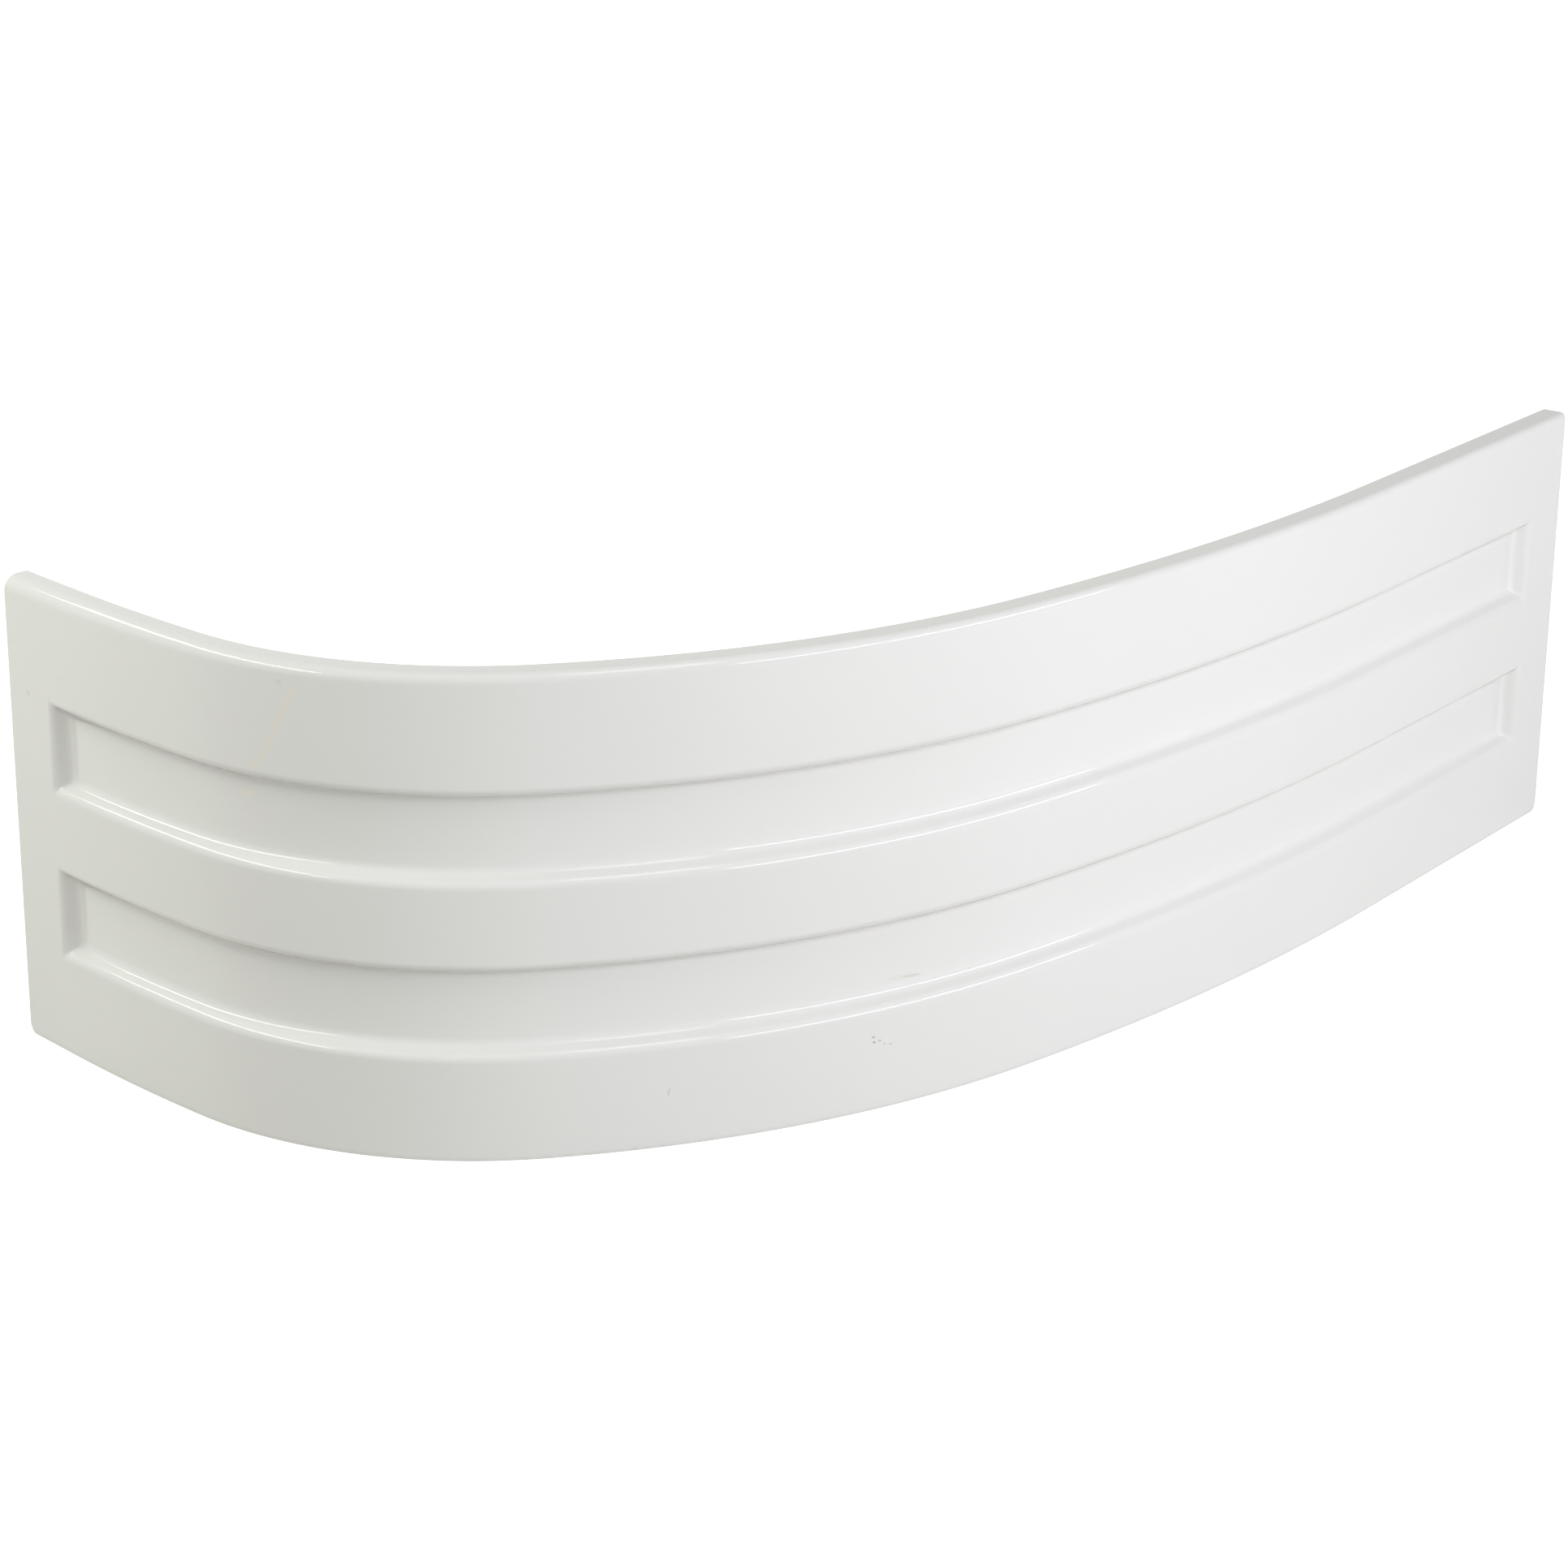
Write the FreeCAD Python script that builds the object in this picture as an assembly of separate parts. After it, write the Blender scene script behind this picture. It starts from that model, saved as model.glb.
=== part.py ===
# Front panel for an offset corner bath, formed in one piece from acrylic sheet.
# In plan the sheet leaves the short end almost flat, turns through a tight shoulder and
# eases out along the front to a straight long end.
# The top edge is rolled back into a lip that tucks under the bath's rim, and long bands
# are pressed into the face, so they stand proud on the back of the sheet.
# Millimetres, +Z up, face towards -Y, ends level in Y, origin under the middle of the box.
import FreeCAD, Part
import math
import os

# Sheet and face
SHEET = 4.0
PANEL_HEIGHT = 540.0
FOOT_CORNER_RADIUS = 12.0

# Plan of the face from the short end to the long end: arcs by radius and length of sheet
SHORT_END_RADIUS = 2240.0
SHORT_END_LENGTH = 221.0
SHOULDER_RADIUS = 446.0
SHOULDER_LENGTH = 404.0
EASE_RADIUS = 1123.0
EASE_LENGTH = 590.0
FRONT_RADIUS = 3095.0
FRONT_LENGTH = 653.0
LONG_END_LENGTH = 460.0

# Lip rolled back along the top edge
LIP_BACK_RADIUS = 10.0
LIP_DEPTH = 31.0

# Recessed bands
BAND_COUNT = 2
BAND_HEIGHT = 99.5
BAND_PITCH = 193.5
LOWER_BAND_FOOT = 118.0
BAND_END_MARGIN = 80.0
BAND_DEPTH = 17.0
BAND_DRAFT = 30.0
BAND_FLOOR_RADIUS = 11.0
BAND_RIM_BACK_RADIUS = 7.0

# Slack when picking edges by where they lie
PICK = 0.05

UP = FreeCAD.Vector(0, 0, 1)
SIN_DRAFT = math.sin(math.radians(BAND_DRAFT))
COS_DRAFT = math.cos(math.radians(BAND_DRAFT))
LIP_RADIUS = LIP_BACK_RADIUS + SHEET
RIM_RADIUS = BAND_RIM_BACK_RADIUS + SHEET

# Measured from the line where a band's wall would meet the face if both were sharp:
# how far out the rim's round begins, and how far in the flat of the floor begins
RIM_RUN = RIM_RADIUS * (1.0 - SIN_DRAFT) / COS_DRAFT
WALL_RUN = (BAND_FLOOR_RADIUS + (BAND_DEPTH - BAND_FLOOR_RADIUS) * SIN_DRAFT) / COS_DRAFT

# Where a band's floor begins from the panel's end, which the flat at the short end reaches
BAND_END = BAND_END_MARGIN + WALL_RUN
SHORT_END_FLAT = BAND_END

# How far the cuts of the mitres reach past a wall's own edges
MITRE_SLACK = SHEET


class Stretch:
    """One stretch of the plan: straight, or an arc turning left about a centre on the bath's side."""

    def __init__(self, start, heading, begins_at, length, radius):
        self.start = start
        self.heading = heading
        self.begins_at = begins_at
        self.ends_at = begins_at + length
        self.radius = radius

    def centre(self):
        """Centre of the arc."""
        return self.start + left_of(self.heading) * self.radius

    def at(self, along):
        """The face's point and heading at a distance along the whole plan."""
        run = along - self.begins_at
        if self.radius is None:
            return self.start + ahead(self.heading) * run, self.heading
        heading = self.heading + math.degrees(run / self.radius)
        return self.centre() - left_of(heading) * self.radius, heading


def ahead(heading):
    """Unit vector along a heading in degrees."""
    return FreeCAD.Vector(math.cos(math.radians(heading)), math.sin(math.radians(heading)), 0)


def left_of(heading):
    """Unit vector to the left of a heading in degrees, which is into the bath."""
    return ahead(heading + 90.0)


def trace_plan(heading):
    """The plan's stretches in order, starting at the origin with the given heading."""
    runs = [
        (SHORT_END_FLAT, None),
        (SHORT_END_LENGTH, SHORT_END_RADIUS),
        (SHOULDER_LENGTH, SHOULDER_RADIUS),
        (EASE_LENGTH, EASE_RADIUS),
        (FRONT_LENGTH, FRONT_RADIUS),
        (LONG_END_LENGTH, None),
    ]
    plan = []
    start, begins_at = FreeCAD.Vector(0, 0, 0), 0.0
    for length, radius in runs:
        stretch = Stretch(start, heading, begins_at, length, radius)
        plan.append(stretch)
        begins_at = stretch.ends_at
        start, heading = stretch.at(begins_at)
    return plan


def level_plan():
    """The plan turned so that its two ends lie on a line along X."""
    last = trace_plan(0.0)[-1]
    end, _ = last.at(last.ends_at)
    return trace_plan(-math.degrees(math.atan2(end.y, end.x)))


PLAN = level_plan()
PLAN_LENGTH = PLAN[-1].ends_at


def placed(shape, along):
    """A copy of a shape, drawn with X behind the face and Y back along the plan, set along it."""
    stretch = next(s for s in reversed(PLAN) if along >= s.begins_at)
    point, heading = stretch.at(along)
    copy = shape.copy()
    copy.Placement = FreeCAD.Placement(point, FreeCAD.Rotation(UP, heading + 90.0))
    return copy


def with_splines(face):
    """The same section with its rounds drawn as splines, which turn into lighter surfaces."""
    edges = []
    for edge in face.OuterWire.OrderedEdges:
        if isinstance(edge.Curve, Part.Circle):
            edge = edge.Curve.toBSpline(edge.FirstParameter, edge.LastParameter).toShape()
        edges.append(edge)
    return Part.Face(Part.Wire(edges))


def sweep(face, first, last):
    """Solids of a section, drawn as distance behind the face against height, carried along the plan."""
    splined = with_splines(face)
    solids = []
    for stretch in PLAN:
        begin = max(first, stretch.begins_at)
        end = min(last, stretch.ends_at)
        if end <= begin:
            continue
        if stretch.radius is None:
            solids.append(placed(face, begin).extrude(ahead(stretch.heading) * (end - begin)))
        else:
            turn = math.degrees((end - begin) / stretch.radius)
            solids.append(placed(splined, begin).revolve(stretch.centre(), UP, turn))
    return solids


def chain(points):
    """Edges through points in turn, where a triple (start, middle, end) stands for a round."""
    edges = []
    last = None
    for item in points:
        if isinstance(item, tuple):
            start, middle, end = item
            if last is not None:
                edges.append(Part.LineSegment(last, start).toShape())
            edges.append(Part.Arc(start, middle, end).toShape())
            last = end
        else:
            if last is not None:
                edges.append(Part.LineSegment(last, item).toShape())
            last = item
    return edges


def wall(inset, place):
    """A band's wall from the face to its floor: the rim's round and the floor's round.

    place turns a distance in from the sharp rim line and a distance behind the face into a point.
    """
    lean = math.sqrt(COS_DRAFT**2 + (1.0 + SIN_DRAFT) ** 2)
    rounds = []
    for run, behind, radius in (
        (-RIM_RUN, RIM_RADIUS, inset - RIM_RADIUS),
        (WALL_RUN, BAND_DEPTH - BAND_FLOOR_RADIUS, BAND_FLOOR_RADIUS + inset),
    ):
        flat = place(run, behind + radius)
        slope = place(run - radius * COS_DRAFT, behind + radius * SIN_DRAFT)
        middle = place(run - radius * COS_DRAFT / lean, behind + radius * (1.0 + SIN_DRAFT) / lean)
        rounds.append((flat, middle, slope))
    rim, floor = rounds
    return [rim, tuple(reversed(floor))]


def backwards(points):
    """The same run of points and rounds taken the other way."""
    return [tuple(reversed(p)) if isinstance(p, tuple) else p for p in reversed(points)]


def band_feet():
    """Height of each band's lower rim line."""
    return [LOWER_BAND_FOOT + number * BAND_PITCH for number in range(BAND_COUNT)]


def skin(inset, feet):
    """One side of the sheet from its foot to the back of its lip, with a band at each height in feet."""
    points = [FreeCAD.Vector(inset, 0, 0)]
    for foot in feet:
        top = foot + BAND_HEIGHT
        points += wall(inset, lambda run, behind: FreeCAD.Vector(behind, 0, foot + run))
        points += backwards(wall(inset, lambda run, behind: FreeCAD.Vector(behind, 0, top - run)))
    radius = LIP_RADIUS - inset
    spring = FreeCAD.Vector(inset, 0, PANEL_HEIGHT - LIP_RADIUS)
    crown = FreeCAD.Vector(LIP_RADIUS, 0, PANEL_HEIGHT - inset)
    across = radius * math.sqrt(0.5)
    middle = FreeCAD.Vector(LIP_RADIUS - across, 0, PANEL_HEIGHT - LIP_RADIUS + across)
    points.append((spring, middle, crown))
    points.append(FreeCAD.Vector(LIP_DEPTH, 0, PANEL_HEIGHT - inset))
    return points


def sheet_section(feet):
    """Section through the sheet, with a band at each height in feet."""
    outside = skin(0.0, feet)
    return Part.Face(Part.Wire(chain(outside + backwards(skin(SHEET, feet)) + outside[:1])))


def wall_profile(place):
    """Section through a band's wall from the plain sheet to the floor."""
    front = wall(0.0, place)
    return Part.Face(Part.Wire(chain(front + backwards(wall(SHEET, place)) + [front[0][0]])))


def mitred(profile, carry, outline):
    """A wall carried along a vector, with only what lies inside an outline drawn on the face kept."""
    slack = FreeCAD.Vector(MITRE_SLACK, 0, 0)
    through = FreeCAD.Vector(BAND_DEPTH + SHEET, 0, 0) + slack * 2.0
    corners = [corner - slack for corner in outline + outline[:1]]
    cutter = Part.Face(Part.makePolygon(corners)).extrude(through)
    return profile.extrude(carry).common(cutter).Solids[0]


def band_end(foot, along, way):
    """One end of a band: its end wall and the last of its two long walls, cut to meet in mitres.

    way is 1 where the end faces back along the plan and -1 where it faces ahead.
    """
    top = foot + BAND_HEIGHT
    outer = -RIM_RUN - MITRE_SLACK
    inner = WALL_RUN + MITRE_SLACK

    def at(run, behind, height):
        return FreeCAD.Vector(behind, way * (WALL_RUN - run), height)

    low_outer = at(outer, 0, foot + outer)
    low_inner = at(inner, 0, foot + inner)
    high_outer = at(outer, 0, top - outer)
    high_inner = at(inner, 0, top - inner)
    back_along = FreeCAD.Vector(0, way * (RIM_RUN + WALL_RUN), 0)
    end_wall = wall_profile(lambda run, behind: at(run, behind, foot - RIM_RUN))
    lower_wall = wall_profile(lambda run, behind: at(WALL_RUN, behind, foot + run))
    upper_wall = wall_profile(lambda run, behind: at(WALL_RUN, behind, top - run))
    solids = [
        mitred(end_wall, UP * (BAND_HEIGHT + 2.0 * RIM_RUN), [low_outer, high_outer, high_inner, low_inner]),
        mitred(lower_wall, back_along, [low_outer, low_inner, at(inner, 0, foot + outer)]),
        mitred(upper_wall, back_along, [high_outer, high_inner, at(inner, 0, top - outer)]),
    ]
    return [placed(solid, along) for solid in solids]


def band_gap(foot, along, way):
    """The end of the gap that a band leaves in the plain sheet, out to where its rim's round begins."""
    reach = RIM_RUN + WALL_RUN
    corner = FreeCAD.Vector(0, min(way * reach, 0.0), foot - RIM_RUN)
    return placed(Part.makeBox(SHEET, reach, BAND_HEIGHT + 2.0 * RIM_RUN, corner), along)


def round_foot_corners(panel):
    """The panel with its two bottom corners rounded."""
    corners = []
    for edge in panel.Edges:
        level = all(abs(v.Z) < PICK for v in edge.Vertexes)
        if level and abs(edge.Length - SHEET) < PICK and len(edge.Vertexes) == 2:
            corners.append(edge)
    return panel.makeFillet(FOOT_CORNER_RADIUS, corners)


def bath_panel():
    """The formed sheet, standing on its foot over the origin."""
    solids = sweep(sheet_section(band_feet()), BAND_END, PLAN_LENGTH - BAND_END)
    plain = sheet_section([])
    for first, last, along, way in (
        (0.0, BAND_END, BAND_END, 1),
        (PLAN_LENGTH - BAND_END, PLAN_LENGTH, PLAN_LENGTH - BAND_END, -1),
    ):
        gaps = [band_gap(foot, along, way) for foot in band_feet()]
        solids += [solid.cut(gaps) for solid in sweep(plain, first, last)]
        for foot in band_feet():
            solids += band_end(foot, along, way)
    panel = solids[0].fuse(solids[1:]).removeSplitter().Solids[0]
    panel = round_foot_corners(panel)
    box = panel.optimalBoundingBox(False, False)
    panel.translate(FreeCAD.Vector(-box.Center.x, -box.Center.y, -box.ZMin))
    return panel


os.makedirs("parts", exist_ok=True)
panel = bath_panel()
panel.exportStep("parts/bath_panel.step")
print("solids", len(panel.Solids), "valid", panel.isValid(), "volume", round(panel.Volume))
print("faces", len(panel.Faces), panel.optimalBoundingBox(False, False))
print("plan length", round(PLAN_LENGTH, 1), "first heading", round(PLAN[0].heading, 2))
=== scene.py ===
"""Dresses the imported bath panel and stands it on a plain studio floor.

The panel is one sheet of white acrylic, formed over a mould: its top edge is rolled back into a lip and
two long bands are pressed into its face. Lengths are metres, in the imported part's own frame.
"""

import logging
import math
from dataclasses import dataclass
from enum import Enum
from typing import Any

import bpy
import numpy as np
from mathutils import Matrix, Vector


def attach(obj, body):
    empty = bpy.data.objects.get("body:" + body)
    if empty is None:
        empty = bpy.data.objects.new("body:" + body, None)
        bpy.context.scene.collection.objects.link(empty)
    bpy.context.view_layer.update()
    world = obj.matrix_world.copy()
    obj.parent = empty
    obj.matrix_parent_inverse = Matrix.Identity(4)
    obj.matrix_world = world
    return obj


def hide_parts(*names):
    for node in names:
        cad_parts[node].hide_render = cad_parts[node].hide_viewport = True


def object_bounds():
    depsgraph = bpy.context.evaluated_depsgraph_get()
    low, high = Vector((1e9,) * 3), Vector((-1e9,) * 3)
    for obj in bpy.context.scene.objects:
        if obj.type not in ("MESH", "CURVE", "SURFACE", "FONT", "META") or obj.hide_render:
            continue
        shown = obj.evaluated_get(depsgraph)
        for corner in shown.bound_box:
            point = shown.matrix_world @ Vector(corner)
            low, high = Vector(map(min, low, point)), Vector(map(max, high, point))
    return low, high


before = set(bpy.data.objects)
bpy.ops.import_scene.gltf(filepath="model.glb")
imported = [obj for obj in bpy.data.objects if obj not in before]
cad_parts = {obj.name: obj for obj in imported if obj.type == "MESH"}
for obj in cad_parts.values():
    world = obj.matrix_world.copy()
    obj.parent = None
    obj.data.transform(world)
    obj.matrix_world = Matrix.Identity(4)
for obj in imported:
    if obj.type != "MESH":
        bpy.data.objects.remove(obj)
CAD_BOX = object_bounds()
LOG = logging.getLogger("bath_panel")
MM = 0.001
UP = np.array([0.0, 0.0, 1.0])
TINY = 1e-12
Lengths = float | np.ndarray


class Side(Enum):
    """The two skins of the sheet."""

    FACE = "face"
    REVERSE = "reverse"


class Finish(Enum):
    """Places of the finishes among the sheet's material slots."""

    FACE = 0
    REVERSE = 1
    CUT_EDGE = 2


def linear(code: str) -> tuple[float, float, float, float]:
    """Turns a colour into the numbers that shaders use.

    Args:
        code: sRGB hex colour, such as "#F0F0EC".

    Returns:
        Linear red, green, blue and a full alpha.
    """
    channels = [int(code[place : place + 2], 16) / 255.0 for place in (1, 3, 5)]
    return (*[c / 12.92 if c <= 0.04045 else ((c + 0.055) / 1.055) ** 2.4 for c in channels], 1.0)


def add_node(
    tree: bpy.types.NodeTree, kind: str, inputs: dict[str | int, Any] | None = None, **settings: Any
) -> bpy.types.Node:
    """Adds one shader node with its settings and links.

    Args:
        tree: Node tree that takes the node.
        kind: The node's type, without the word ShaderNode.
        inputs: What goes into its sockets: a value, or another node's output to link.
        settings: The node's own properties.

    Returns:
        The new node.
    """
    node = tree.nodes.new("ShaderNode" + kind)
    for name, value in settings.items():
        setattr(node, name, value)
    for socket, value in (inputs or {}).items():
        if isinstance(value, bpy.types.NodeSocket):
            tree.links.new(value, node.inputs[socket])
        else:
            node.inputs[socket].default_value = value
    return node


def new_material(name: str) -> tuple[bpy.types.Material, bpy.types.NodeTree]:
    """Makes an empty material.

    Args:
        name: What the material is called.

    Returns:
        The material and its cleared node tree.
    """
    material = bpy.data.materials.new(name)
    material.use_nodes = True
    material.node_tree.nodes.clear()
    return material, material.node_tree


def clouds(
    tree: bpy.types.NodeTree, sheet: bpy.types.NodeSocket, size: float, detail: float
) -> bpy.types.Node:
    """Adds a cloudy pattern.

    Args:
        tree: Node tree that takes it.
        sheet: Places along and up the sheet.
        size: Size of its patches.
        detail: How many finer layers lie over them.

    Returns:
        The pattern's node.
    """
    return add_node(tree, "TexNoise", {"Vector": sheet, "Scale": 1.0 / size, "Detail": detail})


def blend(
    tree: bpy.types.NodeTree, share: bpy.types.NodeSocket, under: Any, over: Any
) -> bpy.types.NodeSocket:
    """Lays one colour over another.

    Args:
        tree: Node tree that takes the mix.
        share: How far the upper colour covers.
        under: Lower colour, as numbers or as an output.
        over: Upper colour, as numbers or as an output.

    Returns:
        The mixed colour.
    """
    # The node has sockets for each kind of value, and these are the ones for colours
    factor, lower, upper, mixed = 0, 6, 7, 2
    node = add_node(tree, "Mix", {factor: share, lower: under, upper: over}, data_type="RGBA")
    return node.outputs[mixed]


def spread(
    tree: bpy.types.NodeTree,
    value: bpy.types.NodeSocket,
    span: tuple[float, float],
    result: tuple[float, float],
    curve: str = "LINEAR",
) -> bpy.types.NodeSocket:
    """Stretches one span of numbers over another.

    Args:
        tree: Node tree that takes it.
        value: The numbers.
        span: Where the span starts and ends.
        result: What its start and its end become.
        curve: How it goes from one to the other, in Blender's word.

    Returns:
        The stretched numbers.
    """
    inputs = dict(enumerate([value, *span, *result]))
    return add_node(tree, "MapRange", inputs, interpolation_type=curve).outputs[0]


def calculate(tree: bpy.types.NodeTree, operation: str, *values: Any) -> bpy.types.NodeSocket:
    """Works out one number from others.

    Args:
        tree: Node tree that takes the sum.
        operation: What is done, in Blender's word.
        values: Numbers or outputs, in the node's order.

    Returns:
        The result.
    """
    return add_node(tree, "Math", dict(enumerate(values)), operation=operation).outputs[0]


def filled(lines: list[float], longest: float) -> list[float]:
    """Adds lines between others so that no gap stays wide.

    Args:
        lines: Places of the lines that have to be there, in any order.
        longest: Widest gap that may stay.

    Returns:
        All lines in order.
    """
    closest = 0.02 * MM
    kept: list[float] = []
    for line in sorted(lines):
        if kept and line - kept[-1] < closest:
            continue
        if kept:
            steps = math.ceil((line - kept[-1]) / longest)
            kept += list(np.linspace(kept[-1], line, steps + 1)[1:-1])
        kept.append(line)
    return kept


@dataclass(frozen=True)
class Run:
    """One stretch of the sheet seen from above: an arc towards the bath, or a straight line."""

    length: float
    radius: float = math.inf

    def follow(
        self, start: np.ndarray, heading: float, step: np.ndarray
    ) -> tuple[np.ndarray, np.ndarray]:
        """Goes along the stretch.

        Args:
            start: Where the stretch begins, as x and y.
            heading: Its direction there, in radians.
            step: Distances from the start.

        Returns:
            Points and headings at those distances.
        """
        headings = heading + step / self.radius
        if math.isinf(self.radius):
            along = np.array([math.cos(heading), math.sin(heading)])
            return start + step[..., None] * along, headings
        centre = start + self.radius * np.array([-math.sin(heading), math.cos(heading)])
        return centre + self.radius * np.stack([np.sin(headings), -np.cos(headings)], -1), headings


@dataclass(frozen=True)
class Plan:
    """Line of the face seen from above, from the short end to the long end."""

    runs: tuple[Run, ...]

    @property
    def length(self) -> float:
        """Length of sheet from end to end."""
        return sum(run.length for run in self.runs)

    def trace(self, along: np.ndarray, heading: float) -> tuple[np.ndarray, np.ndarray]:
        """Follows the plan from the origin.

        Args:
            along: Distances along the plan.
            heading: Direction at the short end, in radians.

        Returns:
            Points and headings at those distances.
        """
        points = np.zeros((*along.shape, 2))
        headings = np.zeros(along.shape)
        start = np.zeros(2)
        begins = 0.0
        for run in self.runs:
            here = along >= begins
            points[here], headings[here] = run.follow(start, heading, along[here] - begins)
            ends, turned = run.follow(start, heading, np.array(run.length))
            start, heading, begins = ends, float(turned), begins + run.length
        return points, headings

    def level_heading(self) -> float:
        """Heading at the short end, in radians, that puts both ends level in Y."""
        end, _ = self.trace(np.array([self.length]), 0.0)
        return -math.atan2(end[0, 1], end[0, 0])


@dataclass(frozen=True)
class Band:
    """A long recess pressed into the face, with soft rims and drafted walls that meet in mitres."""

    foot: float
    height: float
    margin: float
    depth: float
    draft: float
    rim_radius: float
    floor_radius: float
    mitre_ease: float

    @property
    def rim_run(self) -> float:
        """How far outside the sharp rim line the rim's round begins."""
        return self.rim_radius * (1.0 - math.sin(self.draft)) / math.cos(self.draft)

    @property
    def wall_run(self) -> float:
        """How far inside the sharp rim line the flat of the floor begins."""
        rise = (self.depth - self.floor_radius) * math.sin(self.draft)
        return (self.floor_radius + rise) / math.cos(self.draft)

    def lines(self, steps: int) -> list[float]:
        """Distances in from the sharp rim line at which the wall wants a mesh line.

        Args:
            steps: Facets across each round.

        Returns:
            The distances, from the rim to the floor.
        """
        turns = np.linspace(0.0, math.pi / 2.0 - self.draft, steps + 1)
        rim = -self.rim_run + self.rim_radius * np.sin(turns)
        floor = self.wall_run - self.floor_radius * np.sin(turns[::-1])
        return [*rim, *floor]

    def run_in(self, along: np.ndarray, height: np.ndarray, length: float) -> np.ndarray:
        """Distance in from the band's sharp rim line, below zero outside it.

        Args:
            along: Distances along the sheet.
            height: Heights on the sheet.
            length: Length of the whole sheet.

        Returns:
            One distance for each place.
        """
        from_end = length / 2.0 - self.margin - np.abs(along - length / 2.0)
        from_side = self.height / 2.0 - np.abs(height - self.foot - self.height / 2.0)
        near = np.maximum(self.mitre_ease - np.abs(from_end - from_side), 0.0)
        return np.minimum(from_end, from_side) - near**2 / (4.0 * self.mitre_ease)

    def behind(self, run: np.ndarray, inset: float) -> np.ndarray:
        """How far a skin of the sheet lies behind the face.

        Args:
            run: Distances in from the sharp rim line.
            inset: How far that skin lies under the face where the sheet is plain.

        Returns:
            One distance for each place.
        """
        sine, cosine = math.sin(self.draft), math.cos(self.draft)
        rim = self.rim_radius - inset
        floor = self.floor_radius + inset
        wall_top = -self.rim_run + rim * cosine
        wall_foot = self.wall_run - floor * cosine
        on_rim = self.rim_radius - np.sqrt(np.maximum(rim**2 - (run + self.rim_run) ** 2, 0.0))
        on_wall = self.rim_radius - rim * sine + (run - wall_top) * cosine / sine
        on_floor_round = np.sqrt(np.maximum(floor**2 - (run - self.wall_run) ** 2, 0.0))
        on_floor_round += self.depth - self.floor_radius
        return np.select(
            [run <= -self.rim_run, run <= wall_top, run <= wall_foot, run <= self.wall_run],
            [np.full_like(run, inset), on_rim, on_wall, on_floor_round],
            self.depth + inset,
        )


@dataclass(frozen=True)
class Mark:
    """A small blemish on the face, or a piece of a painted reflection: an oval that fades out at its
    edge.
    """

    along: float
    height: float
    length: float
    width: float
    lean: float
    colour: str
    strength: float


def trail(points: list[tuple[float, float]], width: float, colour: str, strength: float) -> list[Mark]:
    """Lays overlapping marks end to end.

    Args:
        points: Places along and up the sheet that the trail goes through.
        width: Width of the trail.
        colour: Its sRGB hex colour.
        strength: How far it covers the sheet's own colour.

    Returns:
        One mark for each stretch between two points.
    """
    marks = []
    for (along, height), (next_along, next_height) in zip(points, points[1:]):
        length = math.hypot(next_along - along, next_height - height)
        lean = math.atan2(next_height - height, next_along - along)
        middle = ((along + next_along) / 2.0, (height + next_height) / 2.0)
        marks.append(Mark(*middle, length + width, width, lean, colour, strength))
    return marks


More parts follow.
